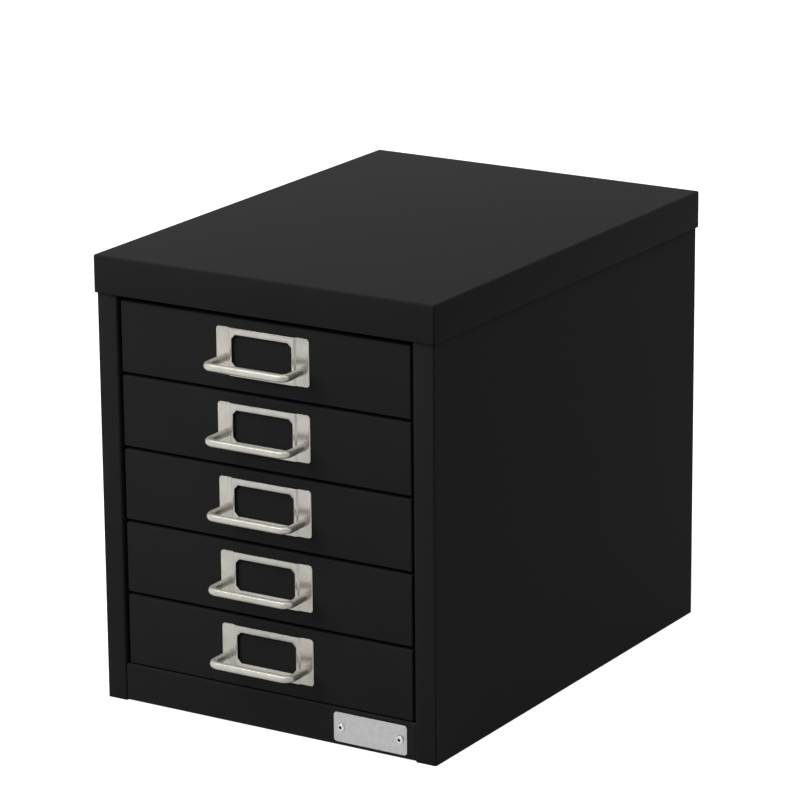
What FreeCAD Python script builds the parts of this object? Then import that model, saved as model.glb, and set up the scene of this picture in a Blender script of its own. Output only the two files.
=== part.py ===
import FreeCAD, Part
import os
import Sketcher

# Desktop cabinet of folded sheet steel with equal drawers, each with a label holder
# and a bent rod pull. Millimetres, +Z up, +X to the right seen from the front,
# -Y to the front. The origin is on the floor, at the centre of the whole outline,
# pulls included.

# Driving sizes

SIZES = {
    # Overall box of the cap, and the floor to the top of the cap
    "cap_width": 280.0,
    "cap_depth": 380.0,
    "cabinet_height": 330.0,
    # Cap: a shallow lid pushed over the carcass
    "cap_skirt": 27.5,
    "cap_sheet": 1.2,
    "cap_gap": 0.3,
    "cap_radius": 1.6,
    # Carcass: folded side panels with front stiles, back, base, plinth and header
    "carcass_sheet": 1.0,
    "bend_radius": 0.6,
    "stile_width": 16.75,
    "stile_return": 14.0,
    "rear_flange": 15.0,
    "edge_flange": 12.0,
    "flange_notch": 2.0,
    "back_flange": 12.0,
    "base_flange": 8.0,
    "panel_play": 0.7,
    "plinth_height": 28.0,
    "plinth_lift": 0.8,
    "plinth_setback": 0.8,
    "rail_flange": 12.0,
    "header_lap": 1.0,
    # Drawer openings and fronts
    "drawer_count": 5,
    "side_gap": 2.5,
    "front_gap": 2.65,
    "gap_below": 1.0,
    "gap_above": 4.15,
    "front_recess": 1.5,
    "skin_sheet": 0.8,
    "skin_return": 10.0,
    "skin_radius": 1.0,
    # Drawer trays
    "tray_sheet": 0.8,
    "tray_inset": 2.25,
    "tray_rise": 1.5,
    "tray_headroom": 1.6,
    "tray_lip": 5.0,
    "tray_back_drop": 6.0,
    "rear_space": 27.0,
    "drawer_travel": 260.0,
    "stop_play": 0.3,
    "ear_reach": 8.0,
    "ear_height": 12.0,
    "ear_drop": 2.0,
    # Runners: angles on the side walls that carry and guide the trays
    "runner_sheet": 1.0,
    "runner_web": 20.0,
    "runner_play": 0.3,
    "runner_start": 0.5,
    "ledge_lap": 6.0,
    "ledge_stop": 8.0,
    # Label holder: a stamped plate whose middle stands off the front for a card
    "plate_width": 76.5,
    "plate_height": 36.0,
    "plate_sheet": 0.8,
    "plate_radius": 2.5,
    "plate_raise": 1.4,
    "card_width": 53.4,
    "card_slot": 1.2,
    "card_bend": 0.7,
    "window_width": 49.5,
    "window_height": 23.0,
    "window_chamfer": 3.2,
    "window_raise": 2.0,
    # Pull: a bent round rod, screwed on from inside the drawer
    "rod_diameter": 5.6,
    "pull_reach": 23.6,
    "pull_bend": 6.5,
    "pull_drop": 5.2,
    "head_diameter": 5.8,
    "head_height": 1.9,
    # Flat facets that rods, screw heads and rivets are drawn with, to keep faces few
    "round_facets": 12,
    # Nameplate on the plinth and its two hollow rivets
    "nameplate_width": 60.0,
    "nameplate_height": 22.0,
    "nameplate_sheet": 0.5,
    "nameplate_radius": 2.5,
    "nameplate_inset": 7.0,
    "rivet_edge": 5.9,
    "rivet_head": 5.8,
    "rivet_dome": 1.1,
    "rivet_crown": 4.2,
    "rivet_hole": 2.1,
}

document = FreeCAD.newDocument("DrawerCabinet")
sheet = document.addObject("Spreadsheet::Sheet", "Sizes")
for row, (name, number) in enumerate(SIZES.items(), 1):
    sheet.set(f"A{row}", name)
    sheet.set(f"B{row}", str(number))
    sheet.setAlias(f"B{row}", name)
document.recompute()


def value(expression):
    """Number that an expression of the sheet's cells has."""
    return float(sheet.evalExpression(expression))


DRAWERS = range(1, int(value("Sizes.drawer_count")) + 1)
LEFT = -1
RIGHT = 1
SIDES = (LEFT, RIGHT)
X_AXIS, Y_AXIS, Z_AXIS = range(3)
TINY = 1e-4

# Sizes worked out from the driving ones, kept as expressions

PULL_OVERHANG = (
    "(Sizes.plate_sheet + Sizes.pull_reach + Sizes.rod_diameter / 2"
    " - Sizes.front_recess - Sizes.cap_sheet - Sizes.cap_gap)"
)
CAP_FRONT = f"(({PULL_OVERHANG} - Sizes.cap_depth) / 2)"
CARCASS_FRONT = f"({CAP_FRONT} + Sizes.cap_sheet + Sizes.cap_gap)"
DRAWER_FACE = f"({CARCASS_FRONT} + Sizes.front_recess)"
PLINTH_FACE = f"({CARCASS_FRONT} + Sizes.plinth_setback)"

HALF_CARCASS = "(Sizes.cap_width / 2 - Sizes.cap_sheet - Sizes.cap_gap)"
CARCASS_DEPTH = "(Sizes.cap_depth - 2 * (Sizes.cap_sheet + Sizes.cap_gap))"
CARCASS_HEIGHT = "(Sizes.cabinet_height - Sizes.cap_sheet)"
INNER_WALL = f"({HALF_CARCASS} - Sizes.carcass_sheet)"
HALF_OPENING = f"({HALF_CARCASS} - Sizes.stile_width)"
BEND_OUTSIDE = "(Sizes.bend_radius + Sizes.carcass_sheet)"
HEADER_BOTTOM = "(Sizes.cabinet_height - Sizes.cap_skirt + Sizes.header_lap)"

HALF_FRONT = f"({HALF_OPENING} - Sizes.side_gap)"
FRONT_HEIGHT = (
    "((Sizes.cabinet_height - Sizes.cap_skirt - Sizes.plinth_height - Sizes.gap_below"
    " - Sizes.gap_above - (Sizes.drawer_count - 1) * Sizes.front_gap) / Sizes.drawer_count)"
)
HALF_TRAY = f"({HALF_FRONT} - Sizes.tray_inset)"
TRAY_HEIGHT = f"({FRONT_HEIGHT} - Sizes.tray_rise - Sizes.tray_headroom)"
TRAY_DEPTH = (
    f"({CARCASS_DEPTH} - Sizes.front_recess - Sizes.skin_sheet - Sizes.rear_space)"
)
TRAY_BACK = "(Sizes.skin_sheet + " + TRAY_DEPTH + ")"
EAR_FRONT = (
    "(Sizes.stile_return - Sizes.front_recess + Sizes.drawer_travel + Sizes.stop_play)"
)

PLATE_CENTRE = f"({FRONT_HEIGHT} / 2 + Sizes.plate_raise)"
HALF_CARD = "(Sizes.card_width / 2 + Sizes.plate_sheet)"
LEG = f"((Sizes.plate_width / 2 + {HALF_CARD}) / 2)"
SCREW_SEAT = "(Sizes.skin_sheet + Sizes.tray_sheet)"

NAMEPLATE_MIDDLE = (
    f"({HALF_OPENING} - Sizes.nameplate_inset - Sizes.nameplate_width / 2)"
)
RIVET_SIDE = "(Sizes.nameplate_width / 2 - Sizes.rivet_edge)"


def front_bottom(number):
    """Height of a drawer front's lower edge; drawer 1 is the top one."""
    return (
        "(Sizes.plinth_height + Sizes.gap_below"
        f" + (Sizes.drawer_count - {number}) * ({FRONT_HEIGHT} + Sizes.front_gap))"
    )


def ledge_top(number):
    """Height of the ledge that a drawer slides on; 0 is the guide over the top drawer."""
    return f"({front_bottom(number)} + Sizes.tray_rise - Sizes.runner_play)"


# Drawing helpers


def new_body(label, y="0", z="0", x="0"):
    """Starts a sub-part whose own origin is placed by three expressions."""
    body = document.addObject("PartDesign::Body", label)
    body.Label = label
    body.setExpression("Placement.Base.x", x)
    body.setExpression("Placement.Base.y", y)
    body.setExpression("Placement.Base.z", z)
    return body


def new_sketch(body, role, name, offset="0"):
    """Sketch on one of the body's own origin planes, moved along its normal."""
    plane = next(item for item in body.Origin.OriginFeatures if item.Role == role)
    sketch = body.newObject("Sketcher::SketchObject", name)
    sketch.AttachmentSupport = (plane, [""])
    sketch.MapMode = "FlatFace"
    sketch.setExpression("AttachmentOffset.Base.z", offset)
    return sketch


def hold(sketch, kind, places, expression):
    """Adds a constraint with a size and binds the size to an expression."""
    number = sketch.addConstraint(Sketcher.Constraint(kind, *places, value(expression)))
    sketch.setExpression(f"Constraints[{number}]", expression)


def draw_outline(sketch, corners):
    """Closed outline of straight lines; each corner is a pair of expressions."""
    points = [FreeCAD.Vector(value(across), value(up), 0) for across, up in corners]
    first = sketch.GeometryCount
    for start, end in zip(points, points[1:] + points[:1]):
        sketch.addGeometry(Part.LineSegment(start, end), False)
    for index, (across, up) in enumerate(corners):
        line = first + index
        before = first + (index - 1) % len(corners)
        sketch.addConstraint(Sketcher.Constraint("Coincident", before, 2, line, 1))
        hold(sketch, "DistanceX", (-1, 1, line, 1), across)
        hold(sketch, "DistanceY", (-1, 1, line, 1), up)


def draw_rectangle(sketch, low, high):
    """Rectangle between two corners, each a pair of expressions."""
    (left, bottom), (right, top) = low, high
    draw_outline(sketch, [(left, bottom), (right, bottom), (right, top), (left, top)])


def facet_ring(across, up, diameter):
    """Corners of a round section drawn with flat facets, all on its true circle."""
    corners = []
    for facet in range(int(value("Sizes.round_facets"))):
        turn = f"(360 * {facet} / Sizes.round_facets)"
        corners.append(
            (
                f"{across} + {diameter} / 2 * cos({turn})",
                f"{up} + {diameter} / 2 * sin({turn})",
            )
        )
    return corners


def add_pad(body, sketch, length, name, backwards=False, both_ways=False):
    """Pads a sketch along its normal, against it, or half each way."""
    pad = body.newObject("PartDesign::Pad", name)
    pad.Profile = sketch
    pad.setExpression("Length", length)
    pad.Reversed = backwards
    pad.SideType = "Symmetric" if both_ways else "One side"
    document.recompute()
    return pad


def add_pocket(body, sketch, length, name, backwards=False, both_ways=False):
    """Cuts a sketch out of the body and makes sure that it removed something."""
    before = body.Tip.Shape.Volume
    pocket = body.newObject("PartDesign::Pocket", name)
    pocket.Profile = sketch
    pocket.setExpression("Length", length)
    pocket.Reversed = backwards
    pocket.SideType = "Symmetric" if both_ways else "One side"
    document.recompute()
    if pocket.Shape.Volume >= before - TINY:
        raise RuntimeError(f"{body.Label} {name}: nothing was cut")
    return pocket


def sketch_axis(sketch, across):
    """Construction line parallel to the sketch's upright axis, to turn a section about."""
    ends = [FreeCAD.Vector(value(across), height, 0) for height in (-1, 1)]
    line = sketch.addGeometry(Part.LineSegment(*ends), True)
    sketch.addConstraint(Sketcher.Constraint("Vertical", line))
    hold(sketch, "DistanceX", (-1, 1, line, 1), across)
    hold(sketch, "DistanceY", (-1, 1, line, 1), "-1")
    hold(sketch, "DistanceY", (-1, 1, line, 2), "1")
    return "Axis0"


def turn_quarter(body, sketch, name, centre, backwards):
    """Turns a section a quarter round an upright axis of its sketch."""
    turned = body.newObject("PartDesign::Revolution", name)
    turned.Profile = sketch
    turned.ReferenceAxis = (sketch, [sketch_axis(sketch, centre)])
    turned.Angle = 90
    turned.Reversed = backwards
    document.recompute()


def edges_along(feature, axis, spots):
    """Names of the straight edges along an axis at spots given by the other two places."""
    places = [(value(first), value(second)) for first, second in spots]
    found = []
    for number, edge in enumerate(feature.Shape.Edges, 1):
        ends = [vertex.Point for vertex in edge.Vertexes]
        if len(ends) != 2:
            continue
        run = ends[1] - ends[0]
        if abs(abs(run[axis]) - edge.Length) > TINY:
            continue
        here = [ends[0][other] for other in range(3) if other != axis]
        for first, second in places:
            if abs(here[0] - first) < TINY and abs(here[1] - second) < TINY:
                found.append(f"Edge{number}")
    return found


def four_corners(across, up):
    """Corners of a rectangle about the origin, from its half sizes."""
    return [(f"{side} * {across}", f"{level} * {up}") for side in SIDES for level in SIDES]


def round_edges(body, feature, edges, radius, name):
    """Rounds edges of the newest feature with a radius from the sheet."""
    fillet = body.newObject("PartDesign::Fillet", name)
    fillet.Base = (feature, edges)
    fillet.setExpression("Radius", radius)
    document.recompute()
    return fillet


# Carcass


def make_top_cap():
    """Lid with a skirt all round, open below, resting on the carcass."""
    body = new_body("top_cap", y=CAP_FRONT)
    half = "(Sizes.cap_width / 2)"
    skirt_bottom = "(Sizes.cabinet_height - Sizes.cap_skirt)"
    outside = new_sketch(body, "XY_Plane", "CapOutline", skirt_bottom)
    draw_rectangle(outside, (f"-{half}", "0"), (half, "Sizes.cap_depth"))
    lid = add_pad(body, outside, "Sizes.cap_skirt", "CapBlock")
    corners = [(f"-{half}", "0"), (half, "0"), (half, "Sizes.cap_depth")]
    corners.append((f"-{half}", "Sizes.cap_depth"))
    top = "Sizes.cabinet_height"
    edges = edges_along(lid, Z_AXIS, corners)
    edges += edges_along(lid, X_AXIS, [("0", top), ("Sizes.cap_depth", top)])
    edges += edges_along(lid, Y_AXIS, [(f"-{half}", top), (half, top)])
    round_edges(body, lid, edges, "Sizes.cap_radius", "CapBends")
    inside = new_sketch(body, "XY_Plane", "CapHollowOutline", skirt_bottom)
    reach = f"({half} - Sizes.cap_sheet)"
    draw_rectangle(
        inside,
        (f"-{reach}", "Sizes.cap_sheet"),
        (reach, "Sizes.cap_depth - Sizes.cap_sheet"),
    )
    depth = "Sizes.cap_skirt - Sizes.cap_sheet"
    add_pocket(body, inside, depth, "CapHollow", backwards=True)


def make_side_panel(label, side):
    """Side wall folded into a front stile with a return, and a rear flange."""
    body = new_body(label, y=CARCASS_FRONT)
    sheet_in = "Sizes.carcass_sheet"
    outer = f"{side} * {HALF_CARCASS}"
    inner = f"{side} * {INNER_WALL}"
    opening = f"{side} * {HALF_OPENING}"
    opening_in = f"{side} * ({HALF_OPENING} + {sheet_in})"
    rear_edge = f"{side} * ({HALF_CARCASS} - Sizes.rear_flange)"
    rear_in = f"({CARCASS_DEPTH} - {sheet_in})"
    plan = new_sketch(body, "XY_Plane", "WallPlan")
    draw_outline(
        plan,
        [
            (opening, "0"),
            (outer, "0"),
            (outer, CARCASS_DEPTH),
            (rear_edge, CARCASS_DEPTH),
            (rear_edge, rear_in),
            (inner, rear_in),
            (inner, sheet_in),
            (opening_in, sheet_in),
            (opening_in, "Sizes.stile_return"),
            (opening, "Sizes.stile_return"),
        ],
    )
    wall = add_pad(body, plan, CARCASS_HEIGHT, "Wall")
    bends = edges_along(
        wall, Z_AXIS, [(opening, "0"), (outer, "0"), (outer, CARCASS_DEPTH)]
    )
    wall = round_edges(body, wall, bends, BEND_OUTSIDE, "BendsOutside")
    bends = edges_along(
        wall, Z_AXIS, [(inner, rear_in), (inner, sheet_in), (opening_in, sheet_in)]
    )
    round_edges(body, wall, bends, "Sizes.bend_radius", "BendsInside")
    flange_edge = f"{side} * ({HALF_CARCASS} - Sizes.edge_flange)"
    for name, height in (("Foot", "0"), ("Head", f"{CARCASS_HEIGHT} - {sheet_in}")):
        flange = new_sketch(body, "XY_Plane", f"{name}FlangeOutline", height)
        draw_rectangle(
            flange,
            (flange_edge, f"{sheet_in} + Sizes.flange_notch"),
            (inner, f"{rear_in} - Sizes.flange_notch"),
        )
        add_pad(body, flange, sheet_in, f"{name}Flange")


def make_back_panel():
    """Flat back inside the rear flanges, with stiffening flanges at top and bottom."""
    body = new_body("back_panel", y=CARCASS_FRONT)
    face = f"({CARCASS_DEPTH} - Sizes.carcass_sheet)"
    inside = f"({face} - Sizes.carcass_sheet)"
    flange = f"({face} - Sizes.back_flange)"
    low = "Sizes.carcass_sheet"
    high = f"({CARCASS_HEIGHT} - Sizes.carcass_sheet)"
    section = new_sketch(body, "YZ_Plane", "BackSection")
    draw_outline(
        section,
        [
            (flange, low),
            (face, low),
            (face, high),
            (flange, high),
            (flange, f"{high} - Sizes.carcass_sheet"),
            (inside, f"{high} - Sizes.carcass_sheet"),
            (inside, f"{low} + Sizes.carcass_sheet"),
            (flange, f"{low} + Sizes.carcass_sheet"),
        ],
    )
    width = f"2 * ({INNER_WALL} - Sizes.panel_play)"
    panel = add_pad(body, section, width, "Back", both_ways=True)
    bends = edges_along(panel, X_AXIS, [(face, low), (face, high)])
    round_edges(body, panel, bends, BEND_OUTSIDE, "BackBends")


def make_base_panel():
    """Floor of the carcass on the foot flanges, turned up behind the plinth."""
    body = new_body("base_panel", y=PLINTH_FACE)
    front = "Sizes.carcass_sheet"
    low = "Sizes.carcass_sheet"
    rear = (
        f"({CARCASS_DEPTH} - Sizes.plinth_setback - Sizes.carcass_sheet"
        " - Sizes.back_flange - Sizes.stop_play)"
    )
    section = new_sketch(body, "YZ_Plane", "BaseSection")
    draw_outline(
        section,
        [
            (front, low),
            (rear, low),
            (rear, f"{low} + Sizes.carcass_sheet"),
            (f"{front} + Sizes.carcass_sheet", f"{low} + Sizes.carcass_sheet"),
            (f"{front} + Sizes.carcass_sheet", f"{low} + Sizes.base_flange"),
            (front, f"{low} + Sizes.base_flange"),
        ],
    )
    width = f"2 * ({HALF_OPENING} - Sizes.panel_play)"
    front_strip = add_pad(body, section, width, "Floor", both_ways=True)
    bends = edges_along(front_strip, X_AXIS, [(front, low)])
    round_edges(body, front_strip, bends, BEND_OUTSIDE, "FloorBend")
    wings = new_sketch(body, "XY_Plane", "FloorWings", low)
    reach = f"({INNER_WALL} - Sizes.panel_play)"
    start = "(Sizes.stile_return - Sizes.plinth_setback + Sizes.runner_start)"
    draw_rectangle(wings, (f"-{reach}", start), (reach, rear))
    add_pad(body, wings, "Sizes.carcass_sheet", "FloorSides")


def make_plinth_rail():
    """Rail under the lowest drawer, set back a little behind the stiles."""
    body = new_body("plinth_rail", y=PLINTH_FACE)
    rear = "Sizes.rail_flange"
    top = "Sizes.plinth_height"
    section = new_sketch(body, "YZ_Plane", "PlinthSection")
    draw_outline(
        section,
        [
            ("0", "Sizes.plinth_lift"),
            ("Sizes.carcass_sheet", "Sizes.plinth_lift"),
            ("Sizes.carcass_sheet", f"{top} - Sizes.carcass_sheet"),
            (rear, f"{top} - Sizes.carcass_sheet"),
            (rear, top),
            ("0", top),
        ],
    )
    rail = add_pad(body, section, f"2 * {HALF_OPENING}", "Plinth", both_ways=True)
    bends = edges_along(rail, X_AXIS, [("0", top)])
    round_edges(body, rail, bends, BEND_OUTSIDE, "PlinthBend")


def make_header_rail():
    """Channel between the stiles behind the cap's skirt, which ties them at the top."""
    body = new_body("header_rail", y=CARCASS_FRONT)
    rear = "Sizes.rail_flange"
    gauge = "Sizes.carcass_sheet"
    section = new_sketch(body, "YZ_Plane", "HeaderSection")
    draw_outline(
        section,
        [
            ("0", HEADER_BOTTOM),
            (rear, HEADER_BOTTOM),
            (rear, f"{HEADER_BOTTOM} + {gauge}"),
            (gauge, f"{HEADER_BOTTOM} + {gauge}"),
            (gauge, f"{CARCASS_HEIGHT} - {gauge}"),
            (rear, f"{CARCASS_HEIGHT} - {gauge}"),
            (rear, CARCASS_HEIGHT),
            ("0", CARCASS_HEIGHT),
        ],
    )
    rail = add_pad(body, section, f"2 * {HALF_OPENING}", "Header", both_ways=True)
    bends = edges_along(rail, X_AXIS, [("0", HEADER_BOTTOM), ("0", CARCASS_HEIGHT)])
    round_edges(body, rail, bends, BEND_OUTSIDE, "HeaderBends")


def make_runner(label, side, number, with_stop=True):
    """Angle on a side wall: a ledge under a tray, with an upturned stop behind it."""
    body = new_body(label, y=CARCASS_FRONT, z=ledge_top(number))
    gauge = "Sizes.runner_sheet"
    start = "(Sizes.stile_return + Sizes.runner_start)"
    end = f"(Sizes.front_recess + {TRAY_BACK} + Sizes.stop_play + {gauge})"
    wall = f"{side} * {INNER_WALL}"
    web = f"{side} * ({INNER_WALL} - {gauge})"
    lap = f"{side} * ({HALF_TRAY} - Sizes.ledge_lap)"
    section = new_sketch(body, "XZ_Plane", "AngleSection", f"-{start}")
    draw_outline(
        section,
        [
            (lap, f"-{gauge}"),
            (wall, f"-{gauge}"),
            (wall, "Sizes.runner_web"),
            (web, "Sizes.runner_web"),
            (web, "0"),
            (lap, "0"),
        ],
    )
    angle = add_pad(body, section, f"{end} - {start}", "Angle", backwards=True)
    bend = edges_along(angle, Y_AXIS, [(wall, f"-{gauge}")])
    outside = f"Sizes.bend_radius + {gauge}"
    round_edges(body, angle, bend, outside, "AngleBend")
    if with_stop:
        stop = new_sketch(body, "XZ_Plane", "StopOutline", f"{gauge} - {end}")
        draw_rectangle(
            stop, (lap, f"-{gauge}"), (f"{side} * {HALF_TRAY}", "Sizes.ledge_stop")
        )
        add_pad(body, stop, gauge, "EndStop", backwards=True)


def make_nameplate():
    """Small blank plate on the plinth."""
    body = new_body(
        "nameplate",
        x=NAMEPLATE_MIDDLE,
        y=PLINTH_FACE,
        z="Sizes.plinth_height / 2",
    )
    half = "(Sizes.nameplate_width / 2)"
    rise = "(Sizes.nameplate_height / 2)"
    outline = new_sketch(body, "XZ_Plane", "NameplateOutline")
    draw_rectangle(outline, (f"-{half}", f"-{rise}"), (half, rise))
    plate = add_pad(body, outline, "Sizes.nameplate_sheet", "Plate")
    edges = edges_along(plate, Y_AXIS, four_corners(half, rise))
    round_edges(body, plate, edges, "Sizes.nameplate_radius", "PlateCorners")


def make_nameplate_rivets():
    """Heads of the two hollow rivets that hold the nameplate, each a flange and a crown."""
    body = new_body(
        "nameplate_rivets",
        x=NAMEPLATE_MIDDLE,
        y=PLINTH_FACE,
        z="Sizes.plinth_height / 2",
    )
    steps = (
        ("Flange", "Sizes.rivet_head", "Sizes.rivet_dome / 2"),
        ("Crown", "Sizes.rivet_crown", "Sizes.rivet_dome"),
    )
    for name, side in (("Left", LEFT), ("Right", RIGHT)):
        centre = f"{side} * {RIVET_SIDE}"
        for step, diameter, height in steps:
            ring = new_sketch(body, "XZ_Plane", f"{name}{step}Ring", "Sizes.nameplate_sheet")
            draw_outline(ring, facet_ring(centre, "0", diameter))
            draw_outline(ring, facet_ring(centre, "0", "Sizes.rivet_hole"))
            add_pad(body, ring, height, f"{name}{step}")


# Drawers


def make_drawer_front(number):
    """Front skin: a folded pan, open behind."""
    body = new_body(f"drawer_front_{number}", y=DRAWER_FACE, z=front_bottom(number))
    outline = new_sketch(body, "XZ_Plane", "FrontOutline")
    draw_rectangle(outline, (f"-{HALF_FRONT}", "0"), (HALF_FRONT, FRONT_HEIGHT))
    pan = add_pad(body, outline, "Sizes.skin_return", "FrontBlock", backwards=True)
    sides = (f"-{HALF_FRONT}", HALF_FRONT)
    edges = edges_along(pan, Z_AXIS, [(place, "0") for place in sides])
    edges += edges_along(pan, X_AXIS, [("0", "0"), ("0", FRONT_HEIGHT)])
    round_edges(body, pan, edges, "Sizes.skin_radius", "FrontBends")
    gauge = "Sizes.skin_sheet"
    hollow = new_sketch(body, "XZ_Plane", "FrontHollowOutline", "-Sizes.skin_return")
    draw_rectangle(
        hollow,
        (f"{gauge} - {HALF_FRONT}", gauge),
        (f"{HALF_FRONT} - {gauge}", f"{FRONT_HEIGHT} - {gauge}"),
    )
    depth = f"Sizes.skin_return - {gauge}"
    add_pocket(body, hollow, depth, "FrontHollow", backwards=True)


def make_drawer_tray(number):
    """Folded tray with turned-in lips, and ears near the back that stop it coming out."""
    body = new_body(
        f"drawer_tray_{number}",
        y=f"{DRAWER_FACE} + Sizes.skin_sheet",
        z=f"{front_bottom(number)} + Sizes.tray_rise",
    )
    gauge = "Sizes.tray_sheet"
    under = f"({TRAY_HEIGHT} - {gauge})"
    outer = HALF_TRAY
    inner = f"({HALF_TRAY} - {gauge})"
    lip = f"({HALF_TRAY} - Sizes.tray_lip)"
    right = [
        (outer, "0"),
        (outer, TRAY_HEIGHT),
        (lip, TRAY_HEIGHT),
        (lip, under),
        (inner, under),
        (inner, gauge),
    ]
    left = [(f"-{across}", up) for across, up in reversed(right)]
    section = new_sketch(body, "XZ_Plane", "TraySection")
    draw_outline(section, right + left)
    trough = add_pad(body, section, TRAY_DEPTH, "Trough", backwards=True)
    folds = [(f"{side} * {outer}", up) for side in SIDES for up in ("0", TRAY_HEIGHT)]
    edges = edges_along(trough, Y_AXIS, folds)
    outside = f"Sizes.bend_radius + {gauge}"
    round_edges(body, trough, edges, outside, "TroughBends")
    walls = (
        ("FrontWall", "0", TRAY_HEIGHT),
        ("BackWall", f"{TRAY_DEPTH} - {gauge}", f"{TRAY_HEIGHT} - Sizes.tray_back_drop"),
    )
    for name, place, height in walls:
        wall = new_sketch(body, "XZ_Plane", f"{name}Outline", f"-({place})")
        draw_rectangle(wall, (f"-{inner}", "0"), (inner, height))
        add_pad(body, wall, gauge, name, backwards=True)
    ear_place = f"({EAR_FRONT} - Sizes.skin_sheet)"
    ears = new_sketch(body, "XZ_Plane", "EarOutline", f"-{ear_place}")
    ear_top = f"({TRAY_HEIGHT} - Sizes.ear_drop)"
    for side in SIDES:
        draw_rectangle(
            ears,
            (f"{side} * {inner}", f"{ear_top} - Sizes.ear_height"),
            (f"{side} * ({outer} + Sizes.ear_reach)", ear_top),
        )
    add_pad(body, ears, gauge, "Ears", backwards=True)


def place_on_front(label, number):
    """Body whose origin is on a drawer's face, at the middle of its label holder."""
    height = f"{front_bottom(number)} + {PLATE_CENTRE}"
    return new_body(label, y=DRAWER_FACE, z=height)


def make_label_holder(number):
    """Stamped plate: flat flanges, a raised middle with a card slot, and a window."""
    body = place_on_front(f"label_holder_{number}", number)
    gauge = "Sizes.plate_sheet"
    wide = "(Sizes.plate_width / 2)"
    raised = f"(Sizes.card_slot + {gauge})"
    right = [
        (HALF_CARD, f"-{raised}"),
        (HALF_CARD, f"-{gauge}"),
        (wide, f"-{gauge}"),
        (wide, "0"),
        ("Sizes.card_width / 2", "0"),
        ("Sizes.card_width / 2", "-Sizes.card_slot"),
    ]
    left = [(f"-({across})", up) for across, up in reversed(right)]
    section = new_sketch(body, "XY_Plane", "HolderSection")
    draw_outline(section, right + left)
    plate = add_pad(body, section, "Sizes.plate_height", "Holder", both_ways=True)
    folds = [(f"{side} * {HALF_CARD}", f"-{raised}") for side in SIDES]
    edges = edges_along(plate, Z_AXIS, folds)
    plate = round_edges(body, plate, edges, "Sizes.card_bend", "HolderBends")
    edges = edges_along(plate, Y_AXIS, four_corners(wide, "(Sizes.plate_height / 2)"))
    round_edges(body, plate, edges, "Sizes.plate_radius", "HolderCorners")
    reach = "(Sizes.window_width / 2)"
    cut = "Sizes.window_chamfer"
    top = "(Sizes.window_raise + Sizes.window_height / 2)"
    bottom = "(Sizes.window_raise - Sizes.window_height / 2)"
    window = new_sketch(body, "XZ_Plane", "WindowOutline")
    draw_outline(
        window,
        [
            (f"{reach} - {cut}", bottom),
            (reach, f"{bottom} + {cut}"),
            (reach, f"{top} - {cut}"),
            (f"{reach} - {cut}", top),
            (f"{cut} - {reach}", top),
            (f"-{reach}", f"{top} - {cut}"),
            (f"-{reach}", f"{bottom} + {cut}"),
            (f"{cut} - {reach}", bottom),
        ],
    )
    add_pocket(body, window, f"4 * {raised}", "Window", both_ways=True)


def make_pull_bar(number):
    """Round rod bent into a U: two legs, two quarter bends and the bar."""
    body = place_on_front(f"pull_bar_{number}", number)
    rod = "Sizes.rod_diameter"
    level = "-Sizes.pull_drop"
    leg_length = "(Sizes.pull_reach - Sizes.pull_bend)"
    bar = new_sketch(body, "YZ_Plane", "BarSection")
    draw_outline(bar, facet_ring("-Sizes.plate_sheet - Sizes.pull_reach", level, rod))
    add_pad(body, bar, f"2 * ({LEG} - Sizes.pull_bend)", "Bar", both_ways=True)
    for name, side in (("Left", LEFT), ("Right", RIGHT)):
        ring = facet_ring(f"{side} * {LEG}", level, rod)
        start = f"Sizes.plate_sheet + {leg_length}"
        section = new_sketch(body, "XZ_Plane", f"{name}BendSection", start)
        draw_outline(section, ring)
        centre = f"{side} * ({LEG} - Sizes.pull_bend)"
        turn_quarter(body, section, f"{name}Bend", centre, side == RIGHT)
        section = new_sketch(body, "XZ_Plane", f"{name}LegSection", "Sizes.plate_sheet")
        draw_outline(section, ring)
        add_pad(body, section, leg_length, f"{name}Leg")


def make_pull_screws(number):
    """Heads of the two screws, inside the drawer, that hold the pull."""
    body = place_on_front(f"pull_screws_{number}", number)
    for name, side in (("Left", LEFT), ("Right", RIGHT)):
        section = new_sketch(body, "XZ_Plane", f"{name}HeadSection", f"-{SCREW_SEAT}")
        ring = facet_ring(f"{side} * {LEG}", "-Sizes.pull_drop", "Sizes.head_diameter")
        draw_outline(section, ring)
        add_pad(body, section, "Sizes.head_height", f"{name}Head", backwards=True)


def make_cabinet():
    """Everything that stands still."""
    make_top_cap()
    make_side_panel("left_side_panel", LEFT)
    make_side_panel("right_side_panel", RIGHT)
    make_back_panel()
    make_base_panel()
    make_plinth_rail()
    make_header_rail()
    make_nameplate()
    make_nameplate_rivets()
    for word, side in (("left", LEFT), ("right", RIGHT)):
        make_runner(f"top_guide_{word}", side, 0, with_stop=False)
        for number in DRAWERS:
            make_runner(f"runner_{word}_{number}", side, number)


def make_drawer(number):
    """One drawer with its label holder and pull."""
    make_drawer_front(number)
    make_drawer_tray(number)
    make_label_holder(number)
    make_pull_bar(number)
    make_pull_screws(number)


def write_parts():
    """Checks every object of the document, then writes each sub-part's file."""
    document.recompute()
    for item in document.Objects:
        if {"Invalid", "Error"} & set(item.State):
            raise RuntimeError(f"{item.Label} is {item.State}")
    bodies = [item for item in document.Objects if item.TypeId == "PartDesign::Body"]
    for body in bodies:
        if body.Shape.isNull() or not body.Shape.isValid():
            raise RuntimeError(f"{body.Label} has no valid shape")
    os.makedirs("parts", exist_ok=True)
    for body in bodies:
        body.Shape.exportStep(f"parts/{body.Label}.step")
        box = body.Shape.BoundBox
        print(
            f"{body.Label}: {len(body.Shape.Solids)} solid(s),"
            f" {box.XLength:.2f} x {box.YLength:.2f} x {box.ZLength:.2f} mm,"
            f" {body.Shape.Volume / 1000:.2f} cm3"
        )


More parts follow.
